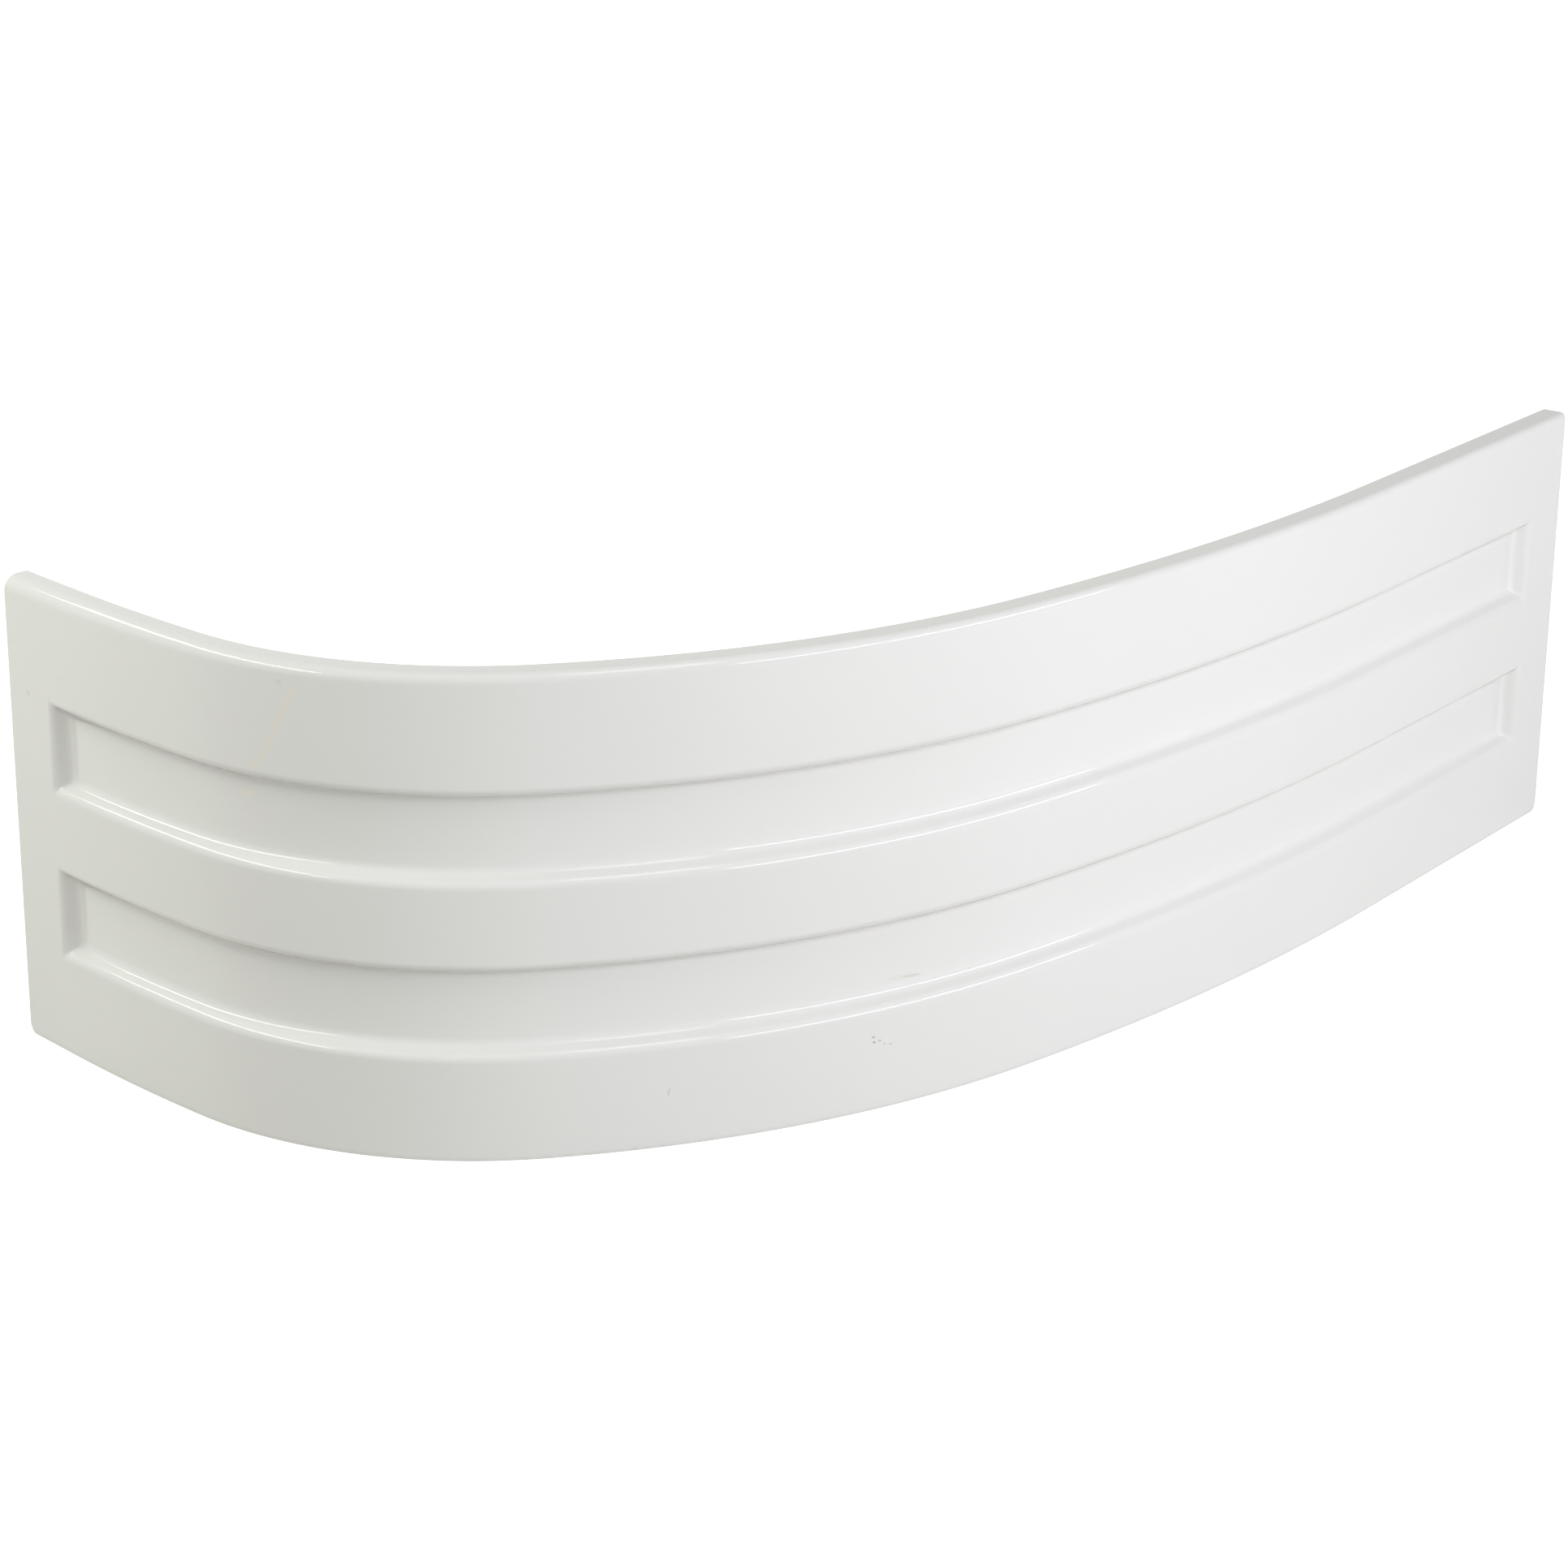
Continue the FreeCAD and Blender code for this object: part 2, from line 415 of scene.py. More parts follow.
@dataclass(frozen=True)
class FormedAcrylic:
    """Face of cast white acrylic sheet after forming: glossy, a little wavy, with a few old marks and a
    faint painted reflection.
    """

    marks: tuple[Mark, ...]
    colour: str = "#F0F0EE"
    tint: str = "#ECECE9"
    tint_patch: float = 350.0 * MM
    ior: float = 1.49
    roughness: float = 0.05
    wiped_roughness: float = 0.075
    wipe_patch: float = 110.0 * MM
    wipe_span: tuple[float, float] = (0.35, 0.75)
    forming_wave: float = 90.0 * MM
    wave_height: float = 0.5 * MM
    wave_strength: float = 0.12
    orange_peel: float = 7.0 * MM
    peel_height: float = 0.05 * MM
    peel_strength: float = 0.06
    mark_ragged: float = 2.0 * MM
    mark_fade: tuple[float, float] = (1.15, 0.45)
    dust: str = "#C9C5B8"
    dust_grain: float = 5.0 * MM
    dust_cover: float = 0.10
    dust_slope: tuple[float, float] = (0.75, 1.0)
    foot_line: str = "#A8A498"
    foot_line_height: float = 6.0 * MM
    foot_line_cover: float = 0.3
    dust_and_foot_line_roughness: float = 0.5

    def material(self) -> bpy.types.Material:
        """Builds the material: gloss from the mould, with tint, haze, dust, marks and a painted
        reflection over it.

        Returns:
            The material.
        """
        material, tree = new_material("formed_gloss_acrylic")
        sheet = add_node(tree, "TexCoord").outputs["UV"]
        # The sheet is coloured right through, so only a faint drift of tone shows where it was stretched
        tone = clouds(tree, sheet, self.tint_patch, 2.0)
        colour = blend(tree, tone.outputs["Fac"], linear(self.colour), linear(self.tint))
        colour = self.with_marks(tree, sheet, colour)
        colour, dust_and_foot_line = self.with_dust(tree, sheet, colour)
        # Wiping leaves broad patches that are a touch less sharp in reflection
        wiped = clouds(tree, sheet, self.wipe_patch, 4.0)
        haze = (self.roughness, self.wiped_roughness)
        rough = spread(tree, wiped.outputs["Fac"], self.wipe_span, haze)
        rough = calculate(tree, "MULTIPLY_ADD", dust_and_foot_line, self.dust_and_foot_line_roughness, rough)
        shader = add_node(
            tree,
            "BsdfPrincipled",
            {
                "Base Color": colour,
                "Roughness": rough,
                "IOR": self.ior,
                "Normal": self.waves(tree, sheet),
            },
        )
        add_node(tree, "OutputMaterial", {"Surface": shader.outputs[0]})
        return material

    def waves(self, tree: bpy.types.NodeTree, sheet: bpy.types.NodeSocket) -> bpy.types.NodeSocket:
        """Surface normal with the long waves of forming and the fine ripple of the mould's skin.

        Args:
            tree: The material's nodes.
            sheet: Places along and up the sheet.

        Returns:
            The normal.
        """
        long_wave = clouds(tree, sheet, self.forming_wave, 1.0)
        formed = add_node(
            tree,
            "Bump",
            {
                "Height": long_wave.outputs["Fac"],
                "Strength": self.wave_strength,
                "Distance": self.wave_height,
            },
        )
        ripple = clouds(tree, sheet, self.orange_peel, 2.0)
        peel = add_node(
            tree,
            "Bump",
            {
                "Height": ripple.outputs["Fac"],
                "Strength": self.peel_strength,
                "Distance": self.peel_height,
                "Normal": formed.outputs[0],
            },
        )
        return peel.outputs[0]

    def with_marks(
        self, tree: bpy.types.NodeTree, sheet: bpy.types.NodeSocket, colour: bpy.types.NodeSocket
    ) -> bpy.types.NodeSocket:
        """Lays the blemishes and the painted reflection over the colour, each with a ragged outline.

        Args:
            tree: The material's nodes.
            sheet: Places along and up the sheet.
            colour: Colour under the marks.

        Returns:
            Colour with the marks.
        """
        ragged = self.mark_ragged
        jog = clouds(tree, sheet, 2.0 * ragged, 3.0)
        middle = (0.5, 0.5, 0.5)
        centred = add_node(tree, "VectorMath", {0: jog.outputs["Color"], 1: middle}, operation="SUBTRACT")
        jogged = add_node(
            tree,
            "VectorMath",
            {0: centred.outputs[0], 1: (ragged, ragged, 0.0), 2: sheet},
            operation="MULTIPLY_ADD",
        ).outputs[0]
        for mark in self.marks:
            placed = add_node(
                tree,
                "Mapping",
                {
                    "Vector": jogged,
                    "Location": (mark.along, mark.height, 0.0),
                    "Rotation": (0.0, 0.0, mark.lean),
                    "Scale": (mark.length / 2.0, mark.width / 2.0, 1.0),
                },
                vector_type="TEXTURE",
            )
            reach = add_node(tree, "VectorMath", {0: placed.outputs[0]}, operation="LENGTH")
            full = (0.0, mark.strength)
            cover = spread(tree, reach.outputs["Value"], self.mark_fade, full, "SMOOTHSTEP")
            colour = blend(tree, cover, colour, linear(mark.colour))
        return colour

    def with_dust(
        self, tree: bpy.types.NodeTree, sheet: bpy.types.NodeSocket, colour: bpy.types.NodeSocket
    ) -> tuple[bpy.types.NodeSocket, bpy.types.NodeSocket]:
        """Lays thin dust on what faces up and darkens a thin line along the foot.

        Args:
            tree: The material's nodes.
            sheet: Places along and up the sheet.
            colour: Colour under the dust.

        Returns:
            Colour with the dust and the darker foot line, and how much of both lies on the surface.
        """
        normal = add_node(tree, "SeparateXYZ", {0: add_node(tree, "NewGeometry").outputs["True Normal"]})
        grain = clouds(tree, sheet, self.dust_grain, 6.0).outputs["Fac"]
        dust_cover = (0.0, self.dust_cover)
        facing_up = spread(tree, normal.outputs["Z"], self.dust_slope, dust_cover, "SMOOTHSTEP")
        dusty = calculate(tree, "MULTIPLY", facing_up, grain)
        colour = blend(tree, dusty, colour, linear(self.dust))
        # Darker towards the foot over its last few millimetres, with the same grain as the dust
        height = add_node(tree, "SeparateXYZ", {0: sheet}).outputs["Y"]
        foot_line_cover = (0.0, self.foot_line_cover)
        low = spread(tree, height, (self.foot_line_height, 0.0), foot_line_cover, "SMOOTHSTEP")
        darker_at_foot = calculate(tree, "MULTIPLY", low, grain)
        colour = blend(tree, darker_at_foot, colour, linear(self.foot_line))
        return colour, calculate(tree, "ADD", dusty, darker_at_foot)


@dataclass(frozen=True)
class SheetReverse:
    """Back of the formed sheet, which never touched a polished mould: satin, with a fine stipple."""

    colour: str = "#E9E8E3"
    shade: str = "#DEDCD4"
    patch: float = 180.0 * MM
    ior: float = 1.49
    roughness: float = 0.42
    dull_roughness: float = 0.546
    stipple: float = 4.0 * MM
    stipple_span: tuple[float, float] = (0.3, 0.7)
    stipple_height: float = 0.2 * MM
    stipple_strength: float = 0.25

    def material(self) -> bpy.types.Material:
        """Builds the material: white, with a soft sheen broken by the stipple.

        Returns:
            The material.
        """
        material, tree = new_material("acrylic_sheet_reverse")
        sheet = add_node(tree, "TexCoord").outputs["UV"]
        tone = clouds(tree, sheet, self.patch, 5.0)
        colour = blend(tree, tone.outputs["Fac"], linear(self.colour), linear(self.shade))
        # The real stipple is under a millimetre; it is drawn coarser so that it shows
        grain = clouds(tree, sheet, self.stipple, 3.0).outputs["Fac"]
        bump = add_node(
            tree,
            "Bump",
            {"Height": grain, "Strength": self.stipple_strength, "Distance": self.stipple_height},
        )
        rough = spread(tree, grain, self.stipple_span, (self.roughness, self.dull_roughness))
        shader = add_node(
            tree,
            "BsdfPrincipled",
            {"Base Color": colour, "Roughness": rough, "IOR": self.ior, "Normal": bump.outputs[0]},
        )
        add_node(tree, "OutputMaterial", {"Surface": shader.outputs[0]})
        return material


@dataclass(frozen=True)
class SawnEdge:
    """Edge of the sheet where it was trimmed with a saw: matt, roughened by the teeth."""

    colour: str = "#E4E3DD"
    groove: str = "#CFCDC4"
    ior: float = 1.49
    roughness: float = 0.55
    tooth: float = 2.5 * MM
    tooth_height: float = 0.1 * MM
    tooth_strength: float = 0.4

    def material(self) -> bpy.types.Material:
        """Builds the material: dull white, broken by the saw's marks.

        Returns:
            The material.
        """
        material, tree = new_material("sawn_acrylic_edge")
        sheet = add_node(tree, "TexCoord").outputs["UV"]
        # The real tooth marks are finer; they are drawn wider so that they show
        teeth = clouds(tree, sheet, self.tooth, 2.0).outputs["Fac"]
        colour = blend(tree, teeth, linear(self.colour), linear(self.groove))
        bump = add_node(
            tree,
            "Bump",
            {"Height": teeth, "Strength": self.tooth_strength, "Distance": self.tooth_height},
        )
        shader = add_node(
            tree,
            "BsdfPrincipled",
            {
                "Base Color": colour,
                "Roughness": self.roughness,
                "IOR": self.ior,
                "Normal": bump.outputs[0],
            },
        )
        add_node(tree, "OutputMaterial", {"Surface": shader.outputs[0]})
        return material


@dataclass(frozen=True)
class FormedSheet:
    """The panel's sheet: two skins over places along it and up its section, joined at the cut edge."""

    plan: Plan
    bands: tuple[Band, ...]
    sheet: float
    height: float
    foot_corner: float
    lip_radius: float
    long_end_lip_radius: float
    lip_depth: float
    edge_round: float
    edge_shares: tuple[float, ...] = (0.0, 0.15, 0.5, 1.0)
    round_steps: int = 7
    corner_points: int = 10
    corner_lean: float = 3.0
    lip_steps: int = 12
    lip_easing: int = 3
    longest_column: float = 8.0 * MM
    longest_row: float = 40.0 * MM

    def lip_radius_at(self, along: np.ndarray) -> np.ndarray:
        """Radius of the lip's roll, which tightens up to the shoulder and hardly changes after it.

        Args:
            along: Places along the sheet.

        Returns:
            One radius for each place.
        """
        share = (1.0 - along / self.plan.length) ** self.lip_easing
        return self.long_end_lip_radius + (self.lip_radius - self.long_end_lip_radius) * share

    def lip_lines(self, radius: Lengths) -> tuple[Lengths, Lengths, Lengths]:
        """Distances up the section to the start and the end of the lip's roll and to its back edge.

        Args:
            radius: Radius of the roll, as one number or an array with one for each place.

        Returns:
            The three distances, each as one number or an array.
        """
        spring = self.height - radius
        crown = spring + radius * math.pi / 2.0
        return spring, crown, crown + self.lip_depth - radius

    def edge_lines(self) -> list[float]:
        """Distances in from the cut edge at which its rounding wants a mesh line."""
        return [self.edge_round * share for share in self.edge_shares]

    def columns(self) -> np.ndarray:
        """Finds where the columns of points go.

        Returns:
            Places along the sheet, from the short end.
        """
        length = self.plan.length
        half = [*self.edge_lines(), length / 2.0]
        for band in self.bands:
            half += [band.margin + run for run in band.lines(self.round_steps)]
        return np.array(filled([*half, *[length - line for line in half]], self.longest_column))

    def rows(self) -> np.ndarray:
        """Finds where the rows of points go at the short end.

        Returns:
            Places up the section, from the foot.
        """
        turns = np.linspace(0.0, math.pi / 2.0, self.corner_points)
        lines = [*self.edge_lines(), *self.foot_corner * (1.0 - np.cos(turns))]
        for band in self.bands:
            runs = band.lines(self.round_steps)
            lines += [band.foot + run for run in runs]
            lines += [band.foot + band.height - run for run in runs]
        spring, crown, girth = self.lip_lines(self.lip_radius)
        lines += list(np.linspace(spring, crown, self.lip_steps + 1))
        lines += [girth - line for line in self.edge_lines()]
        return np.array(filled(lines, self.longest_row))

    def edge_distance(self, along: np.ndarray, up: np.ndarray) -> np.ndarray:
        """Distance in from the cut edge, whose two lower corners are rounded.

        Args:
            along: Places along the sheet.
            up: Places up the section.

        Returns:
            One distance for each place.
        """
        ends = np.minimum(along, self.plan.length - along)
        _, _, girth = self.lip_lines(self.lip_radius_at(along))
        plain = np.minimum(ends, np.minimum(up, girth - up))
        corner = self.foot_corner
        rounded = corner - np.hypot(corner - ends, corner - up)
        return np.where((ends < corner) & (up < corner), rounded, plain)

    def lattice(self) -> tuple[np.ndarray, np.ndarray]:
        """Places of all the points, rows by columns, drawn in at the lower corners and along the lip.

        Returns:
            Places along the sheet and places up the section.
        """
        along, up = np.meshgrid(self.columns(), self.rows())
        spring, crown, girth = self.lip_lines(self.lip_radius)
        here, here_crown, here_girth = self.lip_lines(self.lip_radius_at(along))
        on_roll = here + (up - spring) * (here_crown - here) / (crown - spring)
        on_flat = here_girth - (girth - up) * (here_girth - here_crown) / (girth - crown)
        up = np.select([up < spring, up < crown], [up, on_roll], on_flat)
        corner = self.foot_corner
        low = np.maximum(corner - up, 0.0)
        cut_back = corner - np.sqrt(corner**2 - low**2)
        reach = self.corner_lean * corner
        ends = np.minimum(along, self.plan.length - along)
        drawn_in = cut_back * np.maximum(1.0 - ends / reach, 0.0)
        return np.where(along < self.plan.length / 2.0, along + drawn_in, along - drawn_in), up

    def behind(self, along: np.ndarray, up: np.ndarray, side: Side) -> np.ndarray:
        """How far a skin lies behind the face's plain line.

        Args:
            along: Places along the sheet.
            up: Places up the section.
            side: Which skin.

        Returns:
            One distance for each place.
        """
        inset = 0.0 if side is Side.FACE else self.sheet
        deepest = np.full_like(along, inset)
        for band in self.bands:
            run = band.run_in(along, up, self.plan.length)
            deepest = np.maximum(deepest, band.behind(run, inset))
        return deepest

    def skin(self, side: Side) -> tuple[np.ndarray, np.ndarray]:
        """Points and normals of one skin of the sheet.

        Args:
            side: Which skin.

        Returns:
            Points and outward normals, rows by columns.
        """
        along, up = self.lattice()
        flat, headings = self.plan.trace(along, self.plan.level_heading())
        zero = np.zeros_like(along)
        ahead = np.stack([np.cos(headings), np.sin(headings), zero], -1)
        inward = np.stack([-np.sin(headings), np.cos(headings), zero], -1)
        radius = self.lip_radius_at(along)[..., None]
        spring, crown, _ = self.lip_lines(radius)
        tilt = np.clip((up[..., None] - spring) / radius, 0.0, math.pi / 2.0)
        level = np.maximum(up[..., None] - crown, 0.0)
        outward = np.sin(tilt) * UP - np.cos(tilt) * inward
        upward = np.cos(tilt) * UP + np.sin(tilt) * inward
        points = np.concatenate([flat, zero[..., None]], -1)
        points += np.minimum(up[..., None], spring) * UP
        points += radius * (np.sin(tilt) * UP + (1.0 - np.cos(tilt)) * inward) + level * inward

        nudge = 1e-3 * MM
        depth = self.behind(along, up, side)[..., None]
        rise_along = self.behind(along + nudge, up, side) - self.behind(along - nudge, up, side)
        rise_up = self.behind(along, up + nudge, side) - self.behind(along, up - nudge, side)
        slope = (rise_along[..., None] * ahead + rise_up[..., None] * upward) / (2.0 * nudge)
        normals = outward + slope
        normals /= np.linalg.norm(normals, axis=-1, keepdims=True)
        points -= outward * depth
        if side is Side.REVERSE:
            normals, outward = -normals, -outward

        inside = np.clip(self.edge_distance(along, up), 0.0, self.edge_round)
        lean = ((self.edge_round - inside) / self.edge_round)[..., None]
        rise = np.sqrt(1.0 - lean**2)
        edge_along = self.edge_distance(along + nudge, up) - self.edge_distance(along - nudge, up)
        edge_up = self.edge_distance(along, up + nudge) - self.edge_distance(along, up - nudge)
        away = -(edge_along[..., None] * ahead + edge_up[..., None] * upward)
        away /= np.maximum(np.linalg.norm(away, axis=-1, keepdims=True), TINY)
        points -= outward * self.edge_round * (1.0 - rise)
        return points, rise * normals + lean * away

    def standing_place(self) -> np.ndarray:
        """Finds where the plan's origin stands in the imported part's frame.

        Returns:
            The point at which the sheet reaches its box at the left, at the back and at the foot.
        """
        low, high = CAD_BOX
        heading = self.plan.level_heading() + sum(run.length / run.radius for run in self.plan.runs)
        return np.array([low.x, high.y - self.lip_depth * math.cos(heading), low.z])

    def faces(self, rows: int, columns: int) -> tuple[np.ndarray, np.ndarray]:
        """Faces of the two skins and of the strip that joins them along the cut edge.

        Args:
            rows: Rows of points in a skin.
            columns: Columns of points in a skin.

        Returns:
            Four corners of each face, and the finish of each face.
        """
        number = np.arange(rows * columns).reshape(rows, columns)
        corners = [number[:-1, :-1], number[:-1, 1:], number[1:, 1:], number[1:, :-1]]
        face = np.stack(corners, -1).reshape(-1, 4)
        reverse = face[:, ::-1] + rows * columns
        loop = np.concatenate([number[0, :-1], number[:-1, -1], number[-1, :0:-1], number[:0:-1, 0]])
        onward = np.roll(loop, -1)
        strip = np.stack([loop, loop + rows * columns, onward + rows * columns, onward], -1)
        finishes = [Finish.FACE.value] * len(face)
        finishes += [Finish.REVERSE.value] * len(reverse)
        finishes += [Finish.CUT_EDGE.value] * len(strip)
        return np.concatenate([face, reverse, strip]), np.array(finishes)

    def build(self) -> bpy.types.Object:
        """Makes the sheet as one mesh, with places along and up it as its UV map.

        Returns:
            The sheet, in place.
        """
        along, up = self.lattice()
        skins = [self.skin(side) for side in Side]
        points = np.concatenate([points.reshape(-1, 3) for points, _ in skins]) + self.standing_place()
        normals = np.concatenate([normals.reshape(-1, 3) for _, normals in skins])
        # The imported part's facets cut a hair inside the sheet's curve
        points = np.clip(points, *[np.array(corner) for corner in CAD_BOX])
        corners, finishes = self.faces(*along.shape)
        mesh = bpy.data.meshes.new("formed_sheet")
        mesh.from_pydata(points.tolist(), [], corners.tolist())
        mesh.polygons.foreach_set("material_index", finishes)
        mesh.shade_smooth()
        places = np.tile(np.stack([along, up], -1).reshape(-1, 2), (len(skins), 1))
        mesh.uv_layers.new(name="along_and_up").data.foreach_set("uv", places[corners].ravel())
        mesh.normals_split_custom_set_from_vertices(normals.tolist())
        panel = bpy.data.objects.new("formed_sheet", mesh)
        bpy.context.scene.collection.objects.link(panel)
        return panel

    def dress(self, panel: bpy.types.Object, finishes: dict[Finish, bpy.types.Material]) -> None:
        """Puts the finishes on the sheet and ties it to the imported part.

        Args:
            panel: The sheet.
            finishes: A material for each kind of surface.
        """
        for finish in Finish:
            panel.data.materials.append(finishes[finish])
        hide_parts("bath_panel")
        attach(panel, "root")


@dataclass(frozen=True)
class Lamp:
    """A rectangular lamp that looks at the panel.

    Its direction is in degrees: azimuth from straight in front of the panel towards the long end, and
    elevation. One that is not mirrored lights the sheet but leaves no image in its gloss.
    """

    name: str
    azimuth: float
    elevation: float
    width: float
    height: float
    radiance: float
    colour: str
    mirrored: bool = True
    reach: float = 3.6
    aim: tuple[float, float, float] = (-0.1, -0.05, 0.3)

    def build(self) -> bpy.types.Object:
        """Makes the lamp.

        Returns:
            The lamp, in place.
        """
        light = bpy.data.lights.new(self.name, "AREA")
        light.shape = "RECTANGLE"
        light.size, light.size_y = self.width, self.height
        light.energy = self.radiance * math.pi * self.width * self.height
        light.color = linear(self.colour)[:3]
        lamp = bpy.data.objects.new(self.name, light)
        round_it, above = math.radians(self.azimuth), math.radians(self.elevation)
        level = Vector((math.sin(round_it), -math.cos(round_it), 0.0))
        out = level * math.cos(above) + Vector(UP) * math.sin(above)
        lamp.location = Vector(self.aim) + out * self.reach
        lamp.rotation_euler = (-out).to_track_quat("-Z", "Y").to_euler()
        lamp.visible_glossy = self.mirrored
        bpy.context.scene.collection.objects.link(lamp)
        return lamp


@dataclass(frozen=True)
class Studio:
    """Plain floor, dim warm room light and the lamps."""

    lamps: tuple[Lamp, ...]
    floor_size: float = 60.0
    floor_drop: float = 0.2 * MM
    floor_colour: str = "#BBBAB5"
    floor_lift: float = 0.93
    room_colour: str = "#73726D"
    backdrop_colour: str = "#FFFFFF"

    def seen(self, tree: bpy.types.NodeTree) -> bpy.types.NodeSocket:
        """Whether a ray comes from the eye, a reflection or through glass, as one or nought.

        Args:
            tree: Nodes of the floor or of the room.

        Returns:
            The answer.
        """
        path = add_node(tree, "LightPath").outputs
        mirrored = calculate(tree, "MAXIMUM", path["Is Glossy Ray"], path["Is Transmission Ray"])
        return calculate(tree, "MAXIMUM", path["Is Camera Ray"], mirrored)

    def build_floor(self) -> bpy.types.Object:
        """Makes the floor, which looks white and still takes the panel's shadow.

        Returns:
            The floor.
        """
        half = self.floor_size / 2.0
        mesh = bpy.data.meshes.new("studio_floor")
        corners = [(-half, -half), (half, -half), (half, half), (-half, half)]
        mesh.from_pydata([(x, y, -self.floor_drop) for x, y in corners], [], [(0, 1, 2, 3)])
        material, tree = new_material("painted_studio_floor")
        paint = add_node(tree, "BsdfDiffuse", {"Color": linear(self.floor_colour)})
        lift = calculate(tree, "MULTIPLY", self.seen(tree), self.floor_lift)
        glow = add_node(tree, "Emission", {"Strength": lift})
        surface = add_node(tree, "AddShader", {0: paint.outputs[0], 1: glow.outputs[0]})
        add_node(tree, "OutputMaterial", {"Surface": surface.outputs[0]})
        mesh.materials.append(material)
        floor = bpy.data.objects.new("studio_floor", mesh)
        bpy.context.scene.collection.objects.link(floor)
        return floor

    def build_room(self) -> bpy.types.World:
        """Makes the room: white to the eye, and a dim even light on the panel.

        Returns:
            The world that stands for the room.
        """
        world = bpy.data.worlds.new("studio_room")
        world.use_nodes = True
        tree = world.node_tree
        tree.nodes.clear()
        glow = blend(tree, self.seen(tree), linear(self.room_colour), linear(self.backdrop_colour))
        light = add_node(tree, "Background", {"Color": glow})
        add_node(tree, "OutputWorld", {"Surface": light.outputs[0]})
        bpy.context.scene.world = world
        return world


@dataclass(frozen=True)
class Viewpoint:
    """Camera at the photograph's viewing angle."""

    place: tuple[float, float, float]
    heading: float
    pitch: float
    roll: float
    focal_pixels: float
    image_pixels: float = 1932.0
    sensor: float = 36.0

    def build(self) -> bpy.types.Object:
        """Makes the camera and hands it to the scene.

        Returns:
            The camera, in place.
        """
        data = bpy.data.cameras.new("photo_camera")
        data.sensor_width = self.sensor
        data.lens = self.focal_pixels / self.image_pixels * self.sensor
        camera = bpy.data.objects.new("photo_camera", data)
        level = Vector((math.sin(self.heading), math.cos(self.heading), 0.0))
        forward = level * math.cos(self.pitch) - Vector(UP) * math.sin(self.pitch)
        right = forward.cross(Vector(UP)).normalized()
        above = right.cross(forward)
        turned = Matrix((right, above, -forward)).transposed().to_4x4()
        rolled = turned @ Matrix.Rotation(self.roll, 4, "Z")
        camera.matrix_world = Matrix.Translation(self.place) @ rolled
        bpy.context.scene.collection.objects.link(camera)
        bpy.context.scene.camera = camera
        return camera


def panel_sheet() -> FormedSheet:
    """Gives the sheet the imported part's sizes.

    Returns:
        The sheet.
    """
    sheet = 4.0 * MM
    margin = 80.0 * MM
    feet = (118.0 * MM, 311.5 * MM)
    bands = tuple(
        Band(
            foot=foot,
            height=99.5 * MM,
            margin=margin,
            depth=17.0 * MM,
            draft=math.radians(30.0),
            rim_radius=7.0 * MM + sheet,
            floor_radius=11.0 * MM,
            mitre_ease=4.0 * MM,
        )
        for foot in feet
    )
    short_flat = margin + bands[0].wall_run
    plan = Plan(
        (
            Run(short_flat),
            Run(221.0 * MM, 2240.0 * MM),
            Run(404.0 * MM, 446.0 * MM),
            Run(590.0 * MM, 1123.0 * MM),
            Run(653.0 * MM, 3095.0 * MM),
            Run(460.0 * MM),
        )
    )
    return FormedSheet(
        plan=plan,
        bands=bands,
        sheet=sheet,
        height=540.0 * MM,
        foot_corner=12.0 * MM,
        lip_radius=18.0 * MM,
        long_end_lip_radius=7.5 * MM,
        lip_depth=31.0 * MM,
        edge_round=0.6 * MM,
    )


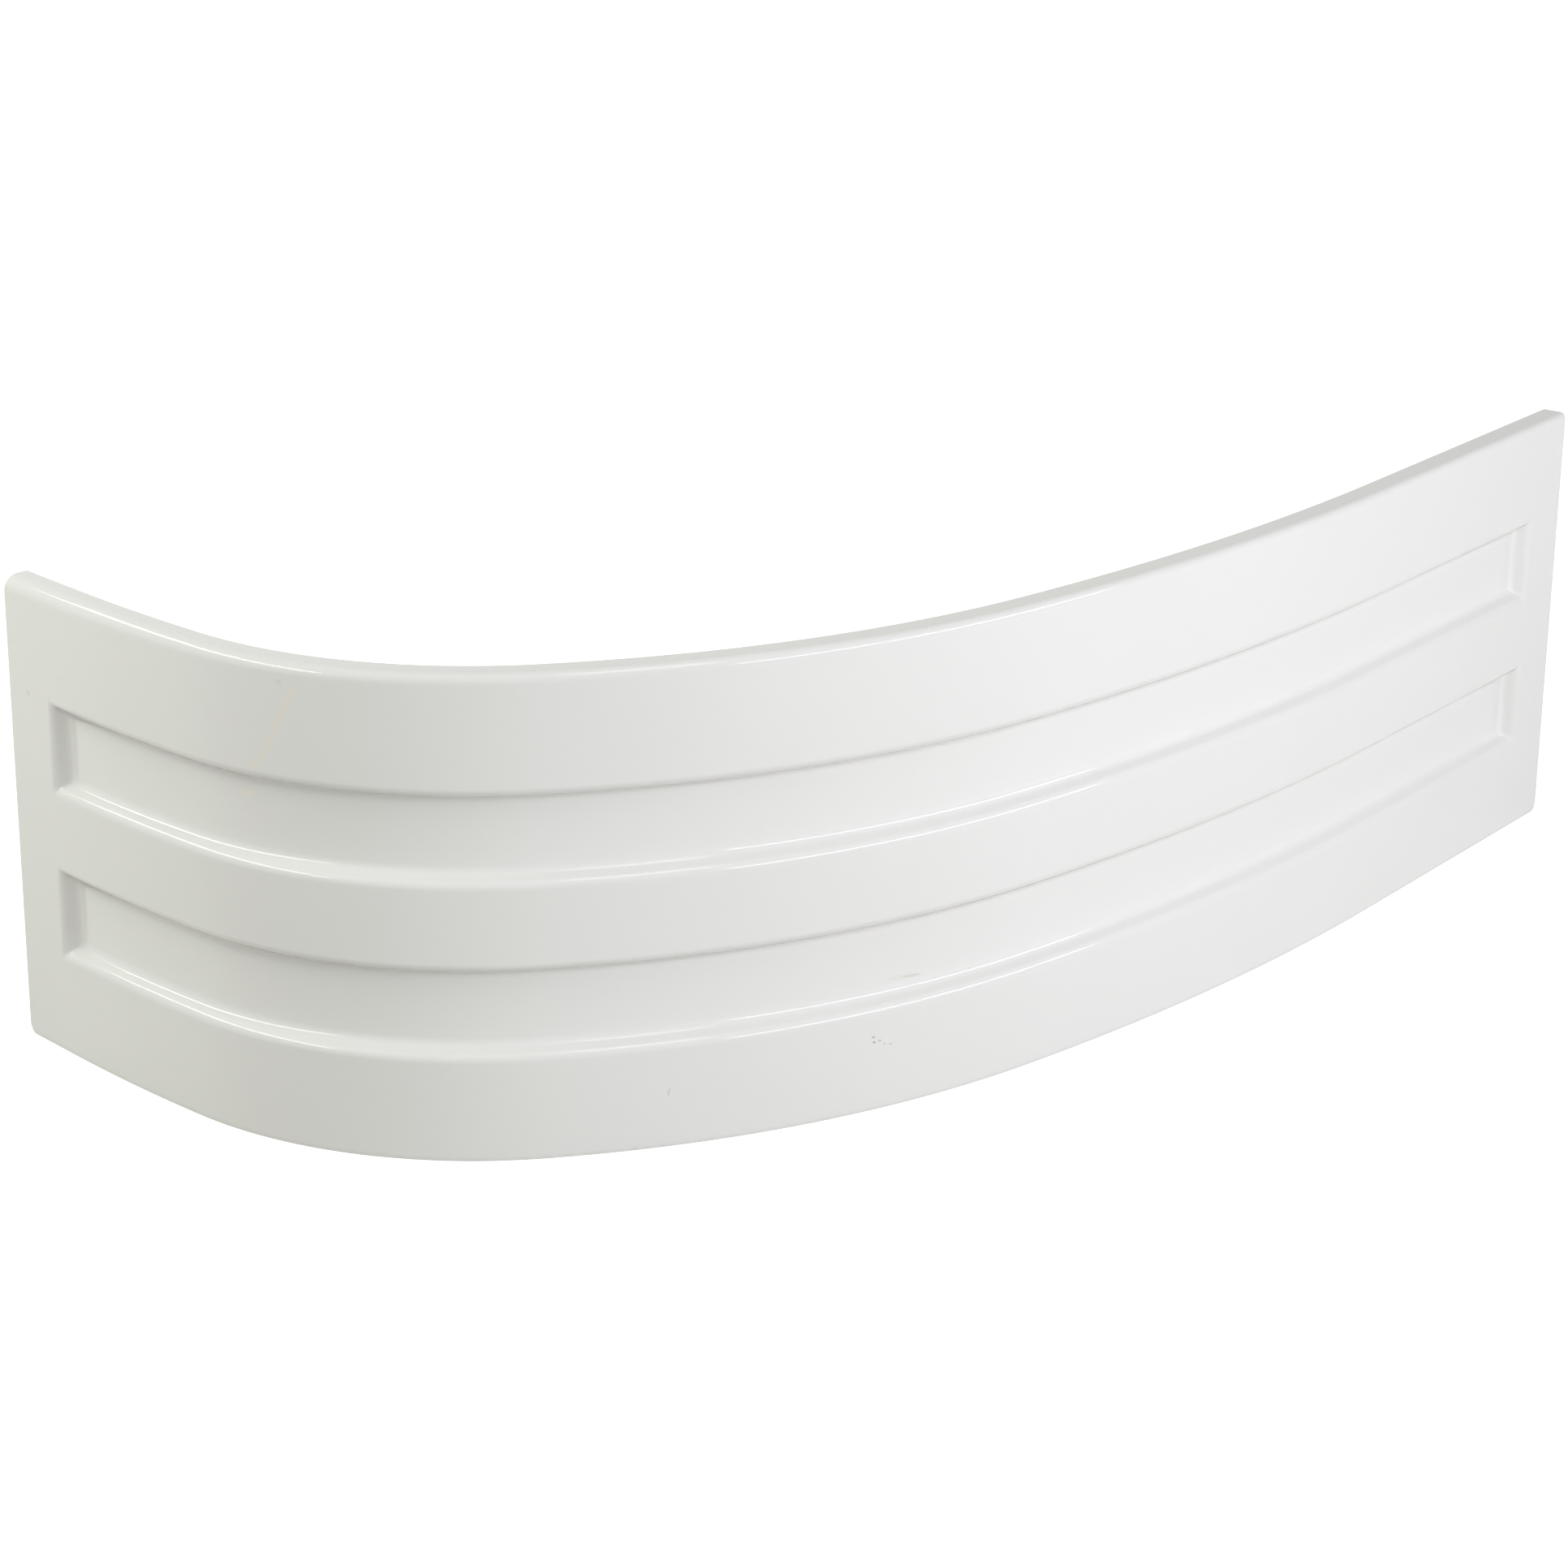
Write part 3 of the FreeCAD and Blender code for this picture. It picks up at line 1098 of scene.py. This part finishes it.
def marks_and_painted_reflection() -> tuple[Mark, ...]:
    """Lists the specks and smeared runs that the face has, and the faint runs of a painted warm
    reflection.

    Returns:
        The marks.
    """
    # The third colour is painted reflection: the pale warm light of a streak reflected in the gloss
    dirt, smear, painted_reflection = "#54513A", "#B0AC86", "#FCF0D6"
    steep = math.radians(80.0)
    # Place along and up, length and width in millimetres, then lean and strength
    spots = [
        (1095.2, 86.4, 4.5, 2.5, 0.0, 0.6),
        (1096.4, 80.4, 4.0, 2.5, 0.0, 0.6),
        (1103.6, 80.8, 5.0, 1.4, 0.0, 0.6),
        (1109.9, 75.6, 2.0, 1.6, 0.0, 0.6),
        (1117.2, 74.0, 2.2, 1.8, 0.0, 0.6),
        (36.7, 414.8, 10.0, 7.0, 0.0, 0.10),
        (105.1, 446.7, 8.0, 6.0, 0.0, 0.04),
        (448.5, 518.3, 8.0, 7.0, 0.0, 0.07),
        (856.0, 63.5, 12.0, 3.0, steep, 0.16),
    ]
    marks = [Mark(*[size * MM for size in sizes], lean, dirt, cover) for *sizes, lean, cover in spots]
    reflection_streak = [(468.4, 518.4), (453.1, 491.0), (438.2, 459.7), (425.2, 432.9), (407.1, 419.0)]
    # Places along and up and width in millimetres, then colour and strength
    runs = [
        ([(1142.0, 141.0), (1168.0, 139.5)], 4.0, smear, 0.26),
        ([(1122.5, 142.1), (1148.0, 140.6)], 7.0, smear, 0.08),
        # These two runs are painted reflection, a faint warm streak of light drawn into the colour
        (reflection_streak, 10.0, painted_reflection, 0.22),
        ([(399.7, 385.6), (380.3, 380.1)], 8.0, painted_reflection, 0.25),
    ]
    for points, width, colour, cover in runs:
        marks += trail([(along * MM, up * MM) for along, up in points], width * MM, colour, cover)
    return tuple(marks)


def studio() -> Studio:
    """Lights the panel with broad windows, strips whose images run along the rounds, and two more.

    Returns:
        The studio with its lamps.
    """
    return Studio(
        lamps=(
            Lamp("window_right", 12.0, 20.0, 3.4, 1.4, 2.0, "#F9F9FF", mirrored=False),
            Lamp("window_low", 30.0, 7.0, 2.1, 0.9, 4.1, "#F8F8FF", mirrored=False),
            Lamp("strip_right", 40.0, 19.0, 3.4, 0.3, 12.8, "#F8F8FF"),
            Lamp("window_left", -97.0, 36.0, 4.2, 2.2, 1.66, "#FCFEF8", mirrored=False),
            Lamp("strip_left", -104.0, 36.0, 3.6, 0.4, 6.5, "#FCFEF8"),
            Lamp("overhead", 8.0, 60.0, 1.0, 1.0, 3.6, "#FAFBFF"),
            Lamp("back_fill", -162.0, 7.0, 1.8, 1.0, 5.0, "#FFFFFF"),
        )
    )


def main() -> None:
    """Builds the panel, the studio and the camera."""
    logging.basicConfig(level=logging.INFO, format="%(name)s: %(message)s")
    sheet = panel_sheet()
    panel = sheet.build()
    finishes = {
        Finish.FACE: FormedAcrylic(marks_and_painted_reflection()).material(),
        Finish.REVERSE: SheetReverse().material(),
        Finish.CUT_EDGE: SawnEdge().material(),
    }
    sheet.dress(panel, finishes)
    LOG.info("%s: %d faces", panel.name, len(panel.data.polygons))

    room = studio()
    LOG.info("%s", room.build_room().name)
    LOG.info("%s", room.build_floor().name)
    for lamp in room.lamps:
        LOG.info("%s", lamp.build().name)
    view = Viewpoint(
        place=(-1.7899, -3.8025, 1.7698),
        heading=math.radians(22.84),
        pitch=math.radians(19.84),
        roll=math.radians(0.52),
        focal_pixels=4789.0,
    )
    LOG.info("%s", view.build().name)
    bpy.context.scene.view_settings.view_transform = "Standard"


if __name__ == "__main__":
    main()
